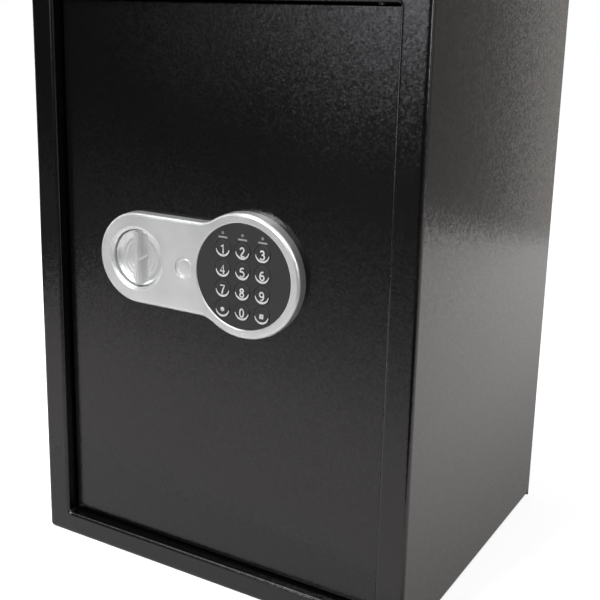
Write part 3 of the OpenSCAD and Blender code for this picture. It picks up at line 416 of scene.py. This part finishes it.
knob = dict(radius=24.0, low=2.9, bore=3.1, edge=1.1, edgeIn=0.3, skirt=1.2, sink=3.5, dish=2.6,
            dishR=22.0, dishLip=((0.3, 0), (-0.1, -0.25)), dishFoot=((-1.2, 0.55), (-1.8, 0.2)),
            rings=(18.0, 14.5, 11.0), ringShape=((0.2, 0.18), (0, 0.05), (-0.8, 0), (-1.6, 0.12)),
            dishMiddle=0.1, sides=128)
grip = dict(top=9.4, width=2.4, ends=4.0, slope=6.0, bow=1.7, ridge=0.35, swell=1.02, sunk=0.05,
            past=0.3, steps=48, flankSteps=8)
rib = dict(wide=2.0, rise=3.6, foot=0.6, inner=1.0, outer=2.2, outerRise=0.3, low=(0.2, 0.4))
well = dict(gap=0.35, lip=26.7, lipRound=0.5, chamfer=0.6, chamferLow=1.6, chamferHigh=1.1,
            floor=2.6, bore=4.5)
cap = dict(radius=8.5, seat=8.8, seatGap=0.1, stem=7.1, stemLow=6.1, top=10.4, low=9.0,
           edge=(0.2, 0.15), off=(1.5, 0.9), gap=0.2, boreGap=0.25, wellRound=0.15, sides=72,
           slope=((7.3, 0.6, 0.05), (7.0, 0.7, 0.22), (6.3, 0.95, 0.85), (6.1, 1.0, 0.97),
                  (5.8, 1.0, 1.0)))  # radius, part of the shift, part of the rise
pad = dict(radius=42.0, gap=0.15, low=7.5, top=9.7, edge=0.3, skirt=(0.5, 0.1), seatGap=0.2,
           ledge=1.0, wellRound=1.2, sides=128)
panel = dict(round=3.0, roundSteps=8, wellSides=96, crease=40.0, knobSteps=48, neckSteps=12,
             padSteps=72)


def panelOutline(inset):
    knobX, padX = lock["knobX"], lock["padX"]
    knobReach, padReach = lock["knobEnd"] + lock["neck"], lock["padEnd"] + lock["neck"]
    neckX = padX - math.sqrt(padReach ** 2 - knobReach ** 2)
    neckR = lock["neck"] + inset
    lean = math.degrees(math.atan2(knobReach, neckX - padX))  # from the keypad to the corner
    points = arc((knobX, 0), lock["knobEnd"] - inset, 90, 270, panel["knobSteps"])
    points += arc((neckX, -knobReach), neckR, 90, 180 - lean, panel["neckSteps"])
    points += arc((padX, 0), lock["padEnd"] - inset, -lean, lean, panel["padSteps"])
    points += arc((neckX, knobReach), neckR, lean - 180, -90, panel["neckSteps"])
    return [(x, up + lock["up"]) for x, up in points]


def holeProfile(radius, rounding, wall):  # from the panel's face over a rounded lip and down
    top = lock["thick"]
    lip = [(rounding * math.sin(math.radians(a)), rounding * math.cos(math.radians(a)))
           for a in range(0, 91, 15)]
    return [(radius + rounding - x, top - rounding + y) for x, y in lip] + wall


def makePanel():
    bm = bmesh.new()
    top, e = lock["thick"], panel["round"]
    rings = [[bm.verts.new(onDoor(x, up, 0)) for x, up in panelOutline(0)]]
    for k in range(panel["roundSteps"] + 1):
        a = math.radians(90 * k / panel["roundSteps"])
        inset, out = e - e * math.cos(a), top - e + e * math.sin(a)
        rings.append([bm.verts.new(onDoor(x, up, out)) for x, up in panelOutline(inset)])
    for k in range(len(rings) - 1):
        bridge(bm, rings[k], rings[k + 1])
    knobWall = knob["radius"] + well["gap"]
    capWall, padWall = cap["radius"] + cap["gap"], pad["radius"] + pad["gap"]
    padSeat = pad["low"] - pad["seatGap"]
    wells = [((lock["knobX"], lock["up"]),
              holeProfile(well["lip"], well["lipRound"],
                          [(knobWall + well["chamfer"], top - well["chamferHigh"]),
                           (knobWall, top - well["chamferLow"]), (knobWall, top - knob["sink"]),
                           (knobWall, well["floor"]), (well["bore"], well["floor"])])),
             ((override["x"], override["up"]),
              holeProfile(capWall, cap["wellRound"],
                          [(capWall, cap["seat"]), (cap["stem"] + cap["boreGap"], cap["seat"])])),
             ((lock["padX"], lock["up"]),
              holeProfile(padWall, pad["wellRound"],
                          [(padWall, padSeat), (pad["radius"] - pad["ledge"], padSeat)]))]
    loops = [rings[-1]]
    for middle, profile in wells:
        loops.append(lathe(bm, profile, middle, panel["wellSides"])[0])
    fillFlat(bm, loops)
    return evenNormals(makeObject("lockPanel", bm, panel["crease"]))


dress(makePanel(), "door", "silver_plastic", silverPaint, "panel_housing")
print("lock panel made")

# Knob: a dished disc with an upright grip that is waisted in the middle

def makeKnob():
    bm = bmesh.new()
    middle = (lock["knobX"], lock["up"])
    rim = lock["thick"] - knob["sink"]
    floor = rim - knob["dish"]
    edge, wide, dishR = knob["edge"], knob["radius"], knob["dishR"]
    profile = [(knob["bore"], knob["low"]), (wide, knob["low"]), (wide, rim - edge - knob["skirt"])]
    profile += [(wide - knob["edgeIn"] - edge + x, rim - edge + y)
                for x, y in arc((0, 0), edge, 0, 90, 6)]
    profile += [(dishR + x, rim + y) for x, y in knob["dishLip"]]
    profile += [(dishR + x, floor + y) for x, y in knob["dishFoot"]]
    for radius in knob["rings"]:
        profile += [(radius + x, floor + y) for x, y in knob["ringShape"]]
    profile += [(0.0, floor + knob["dishMiddle"])]
    lathe(bm, profile, middle, knob["sides"])
    addGrip(bm, middle, floor)
    addRib(bm, middle, floor)
    return makeObject("turningKnob", bm)


def addGrip(bm, middle, floor):
    steps, flankSteps = grip["steps"], grip["flankSteps"]
    flanks = [(-1, k / flankSteps) for k in range(flankSteps + 1)]
    flanks += [(1, rise) for _, rise in reversed(flanks)]
    rows = []
    for j in range(steps + 1):
        v = -1 + 2 * j / steps
        row = []
        for side, rise in flanks:  # the rise is 0 at the dish and 1 at the ridge
            half = grip["width"] / 2 + (grip["ends"] - grip["width"]) / 2 * v * v
            half += grip["slope"] * (1 - rise) ** grip["bow"]
            if rise == 1:
                half -= grip["ridge"]
            reach = math.sqrt((knob["dishR"] + grip["past"]) ** 2 - half * half)
            out = floor - grip["sunk"] + (grip["top"] - floor) * min(1, rise * grip["swell"])
            row.append(bm.verts.new(onDoor(middle[0] + side * half, middle[1] + v * reach, out)))
        rows.append(row)
    for j in range(steps):
        bridge(bm, rows[j], rows[j + 1], closed=False)
    bm.faces.new(rows[0])
    bm.faces.new(rows[-1])


def addRib(bm, middle, floor):  # stands slanting and a little proud of the grip's right flank
    foot = grip["width"] / 2 + grip["slope"] + rib["foot"]
    corners = ((foot, rib["rise"] / 2, floor), (rib["inner"], -rib["rise"] / 2, floor),
               (rib["inner"], -rib["rise"] / 2, grip["top"] - rib["low"][0]),
               (rib["outer"], -rib["rise"] * rib["outerRise"], grip["top"] - rib["low"][1]))
    ends = []
    for side in (-1, 1):
        up = middle[1] + side * rib["wide"] / 2
        ends.append([bm.verts.new(onDoor(middle[0] + x, up + v, out)) for x, v, out in corners])
        bm.faces.new(ends[-1])
    bridge(bm, ends[0], ends[1])


dress(makeKnob(), "knob", "silver_plastic", silverPaint, "knob")
print("knob made")

# Round cap over the override lock, with a shallow crescent pressed in it

def makeCap():
    bm = bmesh.new()
    middle = (override["x"], override["up"])
    seat, sides = cap["seat"] + cap["seatGap"], cap["sides"]
    edgeOut = cap["low"] + cap["edge"][1]
    profile = [(cap["stem"], cap["stemLow"]), (cap["stem"], seat), (cap["radius"], seat),
               (cap["radius"], cap["low"]), (cap["radius"] - cap["edge"][0], edgeOut)]
    last = lathe(bm, profile, middle, sides)[-1]
    for radius, shift, rise in cap["slope"]:  # the raised round is set off to the upper right
        x, up = middle[0] + cap["off"][0] * shift, middle[1] + cap["off"][1] * shift
        ring = lathe(bm, [(radius, edgeOut + (cap["top"] - edgeOut) * rise)], (x, up), sides)[0]
        bridge(bm, last, ring)
        last = ring
    bm.faces.new(last)
    return makeObject("lockCap", bm)


dress(makeCap(), "override_cover", "silver_plastic", silverPaint, "override_cover")
print("lock cap made")

# Keypad: a fascia disc with a hole for each key, and twelve keys

keys = dict(radius=7.0, gap=0.25, pitchX=17.7, pitchUp=16.2, firstUp=20.7, top=10.0, low=6.6,
            edge=0.4, flange=0.5, flangeThick=0.7, holeEdge=0.1, sides=48)
keyNames = ["1", "2", "3", "4", "5", "6", "7", "8", "9", "star", "0", "hash"]
keyColumns = 3


def keyPlace(k):
    return (lock["padX"] + (k % keyColumns - 1) * keys["pitchX"],
            lock["up"] + keys["firstUp"] - (k // keyColumns) * keys["pitchUp"])


def makeFascia():
    bm = bmesh.new()
    top, edge = pad["top"], pad["edge"]
    profile = [(pad["radius"] - pad["skirt"][0], pad["low"]),
               (pad["radius"], pad["low"] + pad["skirt"][1])]
    profile += [(pad["radius"] - edge + x, top - edge + y)
                for x, y in arc((0, 0), edge, 0, 90, 4)]
    holes = [lathe(bm, profile, (lock["padX"], lock["up"]), pad["sides"])[-1]]
    r = keys["radius"] + keys["gap"]
    hole = [(r + keys["holeEdge"], top), (r, top - keys["holeEdge"]), (r, pad["low"])]
    for k in range(len(keyNames)):
        holes.append(lathe(bm, hole, keyPlace(k), keys["sides"])[0])
    fillFlat(bm, holes)
    return evenNormals(makeObject("keypadDisc", bm, panel["crease"]))


dress(makeFascia(), "door", "keypad_black", keypadBlack, "keypad_fascia")

# Digits as pen strokes in a box one unit high, from the lower left
strokes = {
    "1": [[(0.12, 0.78), (0.36, 1.0), (0.36, 0.0)]],
    "2": [[(0.04, 0.76), (0.10, 0.92), (0.28, 1.0), (0.46, 0.94), (0.54, 0.78), (0.48, 0.58),
           (0.04, 0.0), (0.58, 0.0)]],
    "3": [[(0.04, 0.86), (0.16, 0.98), (0.34, 1.0), (0.50, 0.90), (0.52, 0.70), (0.40, 0.56),
           (0.22, 0.54)],
          [(0.40, 0.56), (0.56, 0.44), (0.58, 0.22), (0.44, 0.04), (0.24, 0.0), (0.02, 0.14)]],
    "4": [[(0.42, 0.0), (0.42, 1.0), (0.0, 0.30), (0.60, 0.30)]],
    "5": [[(0.52, 1.0), (0.12, 1.0), (0.06, 0.54), (0.24, 0.62), (0.44, 0.58), (0.56, 0.38),
           (0.54, 0.16), (0.38, 0.0), (0.16, 0.0), (0.02, 0.12)]],
    "6": [[(0.48, 0.96), (0.24, 0.94), (0.08, 0.70), (0.04, 0.34), (0.12, 0.08), (0.32, 0.0),
           (0.52, 0.10), (0.58, 0.34), (0.46, 0.54), (0.26, 0.56), (0.08, 0.42)]],
    "7": [[(0.02, 1.0), (0.58, 1.0), (0.36, 0.52), (0.24, 0.0)]],
    "8": [[(0.30, 0.54), (0.10, 0.66), (0.08, 0.86), (0.30, 1.0), (0.50, 0.86), (0.48, 0.66),
           (0.30, 0.54), (0.06, 0.36), (0.06, 0.12), (0.30, 0.0), (0.54, 0.12), (0.54, 0.36),
           (0.30, 0.54)]],
    "9": [[(0.12, 0.04), (0.36, 0.06), (0.52, 0.30), (0.56, 0.66), (0.48, 0.92), (0.28, 1.0),
           (0.08, 0.90), (0.02, 0.66), (0.14, 0.46), (0.34, 0.44), (0.52, 0.58)]],
    "0": [[(0.30, 1.0), (0.10, 0.86), (0.04, 0.50), (0.10, 0.14), (0.30, 0.0), (0.50, 0.14),
           (0.56, 0.50), (0.50, 0.86), (0.30, 1.0)]],
    "star": [[(0.30, 0.80), (0.30, 0.28)], [(0.06, 0.68), (0.54, 0.40)],
             [(0.06, 0.40), (0.54, 0.68)]],
    "hash": [[(0.20, 0.84), (0.14, 0.24)], [(0.46, 0.84), (0.40, 0.24)],
             [(0.02, 0.66), (0.58, 0.66)], [(0.0, 0.42), (0.56, 0.42)]]}
straightMarks = ("1", "4", "7", "star", "hash")
marks = dict(tall=6.8, middle=(0.3, 0.5), pen=0.64, relief=0.05, digitUp=-0.8, arcR=5.9,
             arcPen=0.9, arcTip=0.35, arcFrom=188, arcSweep=164, arcSteps=24, barUp=8.7,
             barHalf=4.0, barPen=0.75)


def penCurve(name, lines, out):  # each line is its points and pen radii, pressed nearly flat
    curve = bpy.data.curves.new(name, "CURVE")
    curve.dimensions = "3D"
    curve.bevel_depth = 1.0
    curve.bevel_resolution = 2
    curve.use_fill_caps = True
    for points, radii in lines:
        spline = curve.splines.new("POLY")
        spline.points.add(len(points) - 1)
        for p, (x, up), r in zip(spline.points, points, radii):
            p.co = (x, 0, up, 1)
            p.radius = r
    tube = inScene(name, curve)
    bpy.context.view_layer.update()
    depsgraph = bpy.context.evaluated_depsgraph_get()
    mesh = bpy.data.meshes.new_from_object(tube.evaluated_get(depsgraph))
    bpy.data.objects.remove(tube)
    flatten = marks["relief"] / max(marks["pen"], marks["arcPen"])
    for v in mesh.vertices:
        v.co = onDoor(v.co.x, v.co.z, out - v.co.y * flatten)
    mesh.polygons.foreach_set("use_smooth", [True] * len(mesh.polygons))
    return inScene(name, mesh)


def smoothLine(points, times=2):  # rounds a pen line's corners by cutting them
    for _ in range(times):
        made = [points[0]]
        for (ax, ay), (bx, by) in zip(points[:-1], points[1:]):
            made += [(ax * 0.75 + bx * 0.25, ay * 0.75 + by * 0.25),
                     (ax * 0.25 + bx * 0.75, ay * 0.25 + by * 0.75)]
        made.append(points[-1])
        points = made
    return points


def makeKey(k):
    name = keyNames[k]
    x, up = keyPlace(k)
    bm = bmesh.new()
    r, edge, low, top = keys["radius"], keys["edge"], keys["low"], keys["top"]
    flange, flangeTop = r + keys["flange"], low + keys["flangeThick"]
    profile = [(0.0, low), (flange, low), (flange, flangeTop), (r, flangeTop)]
    profile += [(r - edge + px, top - edge + py) for px, py in arc((0, 0), edge, 0, 90, 4)]
    lathe(bm, profile + [(0.0, top)], (x, up), keys["sides"])
    keyCap = makeObject("keyCap_" + name, bm)
    dress(keyCap, "key_" + name, "key_black", keypadBlack, "key_" + name)

    lines = []
    tall = marks["tall"]
    boxLeft = x - marks["middle"][0] * tall
    boxLow = up - marks["middle"][1] * tall + marks["digitUp"]
    for stroke in strokes[name]:
        path = stroke if name in straightMarks else smoothLine(stroke)
        path = [(boxLeft + px * tall, boxLow + py * tall) for px, py in path]
        lines.append((path, [marks["pen"]] * len(path)))
    steps = marks["arcSteps"]
    crescent = arc((x, up), marks["arcR"], marks["arcFrom"],
                   marks["arcFrom"] + marks["arcSweep"], steps)
    swell = [math.sin(math.pi * j / steps) for j in range(steps + 1)]
    pens = [marks["arcPen"] * (marks["arcTip"] + (1 - marks["arcTip"]) * part) for part in swell]
    lines.append((crescent, pens))
    dress(penCurve("keyMark_" + name, lines, top), "key_" + name, "key_black", printWhite)


for k in range(len(keyNames)):
    makeKey(k)
barLines = []
for column in range(keyColumns):
    x, up = keyPlace(column)
    barLines.append(([(x - marks["barHalf"], up + marks["barUp"]),
                      (x + marks["barHalf"], up + marks["barUp"])], [marks["barPen"]] * 2))
dress(penCurve("labelBars", barLines, pad["top"]), "door", "keypad_black", printDim)
print("keypad made")

# Camera, solved from the cabinet's corners in the photograph
sight = dict(place=(0.4482, -0.8349, 0.5004), turn=(75.426, 0.050, 33.898), lens=64.97,
             shift=(0.1700, -0.0806), nearest=0.01)
camera = inScene("camera", bpy.data.cameras.new("camera"))
camera.location = sight["place"]
camera.rotation_euler = [math.radians(a) for a in sight["turn"]]
camera.data.lens = sight["lens"]
camera.data.shift_x, camera.data.shift_y = sight["shift"]
camera.data.clip_start = sight["nearest"]
bpy.context.scene.camera = camera
print("camera set")

# Floor and lights, in metres
floorLook = dict(half=6.0, white=(0.9, 0.9, 0.9, 1), rough=0.9, mirror=0.22, seen=0.87)
studio = dict(level=0.14, seen=1.0)
coolTint = (0.97, 0.98, 1.03)
warmTint = (1.03, 0.98, 0.94)


def aimed(obj, place, target, along):
    obj.location = place
    obj.rotation_euler = (Vector(target) - Vector(place)).to_track_quat(along, "Y").to_euler()


def lightArea(name, place, target, size, power):
    data = bpy.data.lights.new(name, "AREA")
    data.shape = "RECTANGLE"
    data.size, data.size_y = size
    data.energy = power
    aimed(inScene(name, data), place, target, "-Z")


def seenBy(tree, *rays):  # 1 for rays of these kinds and 0 for all others
    path = node(tree, "ShaderNodeLightPath")
    seen = path.outputs[rays[0]]
    for ray in rays[1:]:
        either = node(tree, "ShaderNodeMath", operation="MAXIMUM")
        tree.links.new(seen, either.inputs[0])
        tree.links.new(path.outputs[ray], either.inputs[1])
        seen = either.outputs[0]
    return seen


def mixBySight(tree, plain, shown, output, *rays):
    mix = node(tree, "ShaderNodeMixShader")
    tree.links.new(seenBy(tree, *rays), mix.inputs[0])
    tree.links.new(plain.outputs[0], mix.inputs[1])
    tree.links.new(shown.outputs[0], mix.inputs[2])
    tree.links.new(mix.outputs[0], tree.nodes[output].inputs["Surface"])


def flatSheet(name, half):
    bm = bmesh.new()
    bmesh.ops.create_grid(bm, x_segments=1, y_segments=1, size=half)
    return inScene(name, meshFrom(name, bm))


def makeFloor():  # white to the camera and in reflections, and it keeps the object's shadow
    floor = flatSheet("floor", floorLook["half"])
    material, tree, shader = newMaterial("floorWhite", {
        "Base Color": floorLook["white"], "Roughness": floorLook["rough"],
        "Specular IOR Level": 0.0})
    glow = node(tree, "ShaderNodeEmission")
    add = node(tree, "ShaderNodeAddShader")
    tree.links.new(spread(tree, seenBy(tree, "Is Camera Ray"), floorLook["mirror"],
                          floorLook["seen"]), glow.inputs["Strength"])
    tree.links.new(shader.outputs[0], add.inputs[0])
    tree.links.new(glow.outputs[0], add.inputs[1])
    mixBySight(tree, shader, add, "Material Output",
               "Is Camera Ray", "Is Glossy Ray", "Is Transmission Ray")
    floor.data.materials.append(material)


def makeWorld():
    world = bpy.data.worlds.new("studio")
    bpy.context.scene.world = world
    world.use_nodes = True
    tree = world.node_tree
    base = tree.nodes["Background"]
    base.inputs["Color"].default_value = (1, 1, 1, 1)
    base.inputs["Strength"].default_value = studio["level"]
    white = node(tree, "ShaderNodeBackground", {"Color": (1, 1, 1, 1), "Strength": studio["seen"]})
    mixBySight(tree, base, white, "World Output",
               "Is Camera Ray", "Is Glossy Ray", "Is Transmission Ray")


def fadeColor(tree, fade, length, tint):  # levels at distances from the card's far edge
    coords = node(tree, "ShaderNodeTexCoord")
    parts = node(tree, "ShaderNodeSeparateXYZ")
    tree.links.new(coords.outputs["Object"], parts.inputs[0])
    away = node(tree, "ShaderNodeMath", {0: 0.5}, operation="SUBTRACT")
    tree.links.new(parts.outputs["Y"], away.inputs[1])
    shades = ramp(tree, away.outputs[0], 0.0, 1.0, (0, 0, 0), (0, 0, 0))
    stops = shades.node.color_ramp.elements
    stops.remove(stops[1])
    for k, (distance, part) in enumerate(fade):
        stop = stops[0] if k == 0 else stops.new(distance / length)
        stop.position = distance / length
        stop.color = (*[part * c for c in tint], 1)
    return shades


def reflectedCard(name, middle, facing, size, level, fade=None, tint=(1, 1, 1)):
    card = flatSheet(name, 0.5)  # it is seen only in what the object reflects
    aimed(card, middle, facing, "Z")
    card.scale = (*size, 1)
    material = bpy.data.materials.new(name)
    material.use_nodes = True
    tree = material.node_tree
    tree.nodes.remove(tree.nodes["Principled BSDF"])
    glow = node(tree, "ShaderNodeEmission", {"Strength": level, "Color": (*tint, 1)})
    if fade:
        tree.links.new(fadeColor(tree, fade, size[1], tint), glow.inputs["Color"])
    tree.links.new(glow.outputs[0], tree.nodes["Material Output"].inputs["Surface"])
    card.data.materials.append(material)
    card.visible_camera = False
    card.visible_diffuse = False
    card.visible_shadow = False
    card.visible_transmission = False
    return card


def floorCard(name, place, size, level, turn=None, fade=None, tint=(1, 1, 1)):
    card = reflectedCard(name, place, (*place[:2], 1), size, level, fade, tint)
    if turn is not None:
        card.rotation_euler.z = math.radians(turn)


def wallCard(name, place, size, level, fade=None, tint=(1, 1, 1)):  # upright, towards Y = 0
    reflectedCard(name, place, (place[0], 0, place[2]), size, level, fade, tint)


makeFloor()
makeWorld()
floorCard("paleFront", (-0.64, -2.11, 0.003), (4.6, 3.5), 1.12, 9,
          [(0, 0.98), (0.22, 0.98), (0.34, 0.77), (0.52, 0.50), (0.92, 0.17), (1.45, 0.03),
           (2.6, 0.02)], (1.0, 0.955, 0.965))
# Floor beside the cabinet's right side, seen only in reflections: its fade is a painted contact
# shadow, dim next to the wall and at full brightness 0.3 m out
floorCard("paleSideWithShade", (1.275, 0.5, 0.003), (1.4, 2.2), 1.32, 90,
          [(0, 0.32), (0.03, 0.43), (0.07, 0.57), (0.14, 0.78), (0.3, 1.0)], (1.0, 0.97, 0.95))
wallCard("darkFront", (-1.2, -2.1, 1.6), (5.6, 3.2), 0.02)
wallCard("brightFront", (-0.25, -1.7, 0.95), (1.0, 1.0), 2.3, tint=coolTint)
wallCard("brightCore", (-0.18, -1.69, 0.98), (0.64, 1.1), 3.6, tint=coolTint)

# The sheen at the top of the door, strongest to the right
sheenBand = dict(y=-1.68, up=0.30, tall=0.40)
for name, left, right, level, fade in (
        ("sheenStrip", -0.515, -0.38, 4.0,
         [(0, 1.0), (0.10, 1.0), (0.186, 0.46), (0.27, 0.08), (0.36, 0.02)]),
        ("sheenRight", -0.68, -0.515, 1.2,
         [(0, 1.0), (0.12, 0.95), (0.23, 0.62), (0.34, 0.15), (0.399, 0.01)]),
        ("sheenMiddle", -0.82, -0.68, 0.95,
         [(0, 1.0), (0.12, 1.0), (0.17, 0.6), (0.23, 0.22), (0.30, 0.02)]),
        ("sheenLeft", -1.15, -0.82, 0.33,
         [(0, 1.0), (0.12, 1.0), (0.23, 0.38), (0.32, 0.10), (0.399, 0.02)])):
    wallCard(name, ((left + right) / 2, sheenBand["y"], sheenBand["up"]),
             (right - left, sheenBand["tall"]), level, fade, coolTint)

wallCard("dimRight", (1.79, 1.2, 1.01), (2.42, 2.0), 0.28, tint=warmTint)
wallCard("paleRight", (0.415, 1.21, 1.01), (0.33, 2.0), 0.75, tint=warmTint)
reflectedCard("darkRight", (1.9, -1.1, 0.6), (0, -0.15, 0.3), (1.6, 2.0), 0.05)
# A dark patch on the floor, seen only in reflections: painted shade on the right flank of the
# knob's grip
floorCard("darkFlank", (0.62, -0.62, 0.005), (0.70, 0.60), 0.04)
floorCard("darkLeft", (-1.27, -0.3, 0.005), (1.06, 1.6), 0.08)
reflectedCard("brightRight", (1.5, -0.70, 0.98), (0.175, -0.155, 0.98), (0.3, 1.2), 8)
reflectedCard("brightHigh", (1.0, -1.2, 1.6), (0.05, -0.15, 0.27), (1.0, 1.0), 5)
reflectedCard("brightLeft", (-1.6, 0.45, 0.9), (0, 0.45, 0.9), (1.6, 1.8), 4.0)
lightArea("keyLamp", (-0.35, -1.5, 1.25), (0.0, -0.14, 0.30), (0.6, 0.6), 17)
lightArea("topLamp", (-0.55, -0.5, 2.2), (-0.05, -0.15, 0.3), (1.0, 1.0), 20)
print("stage made")

bpy.context.scene.view_settings.view_transform = "Standard"
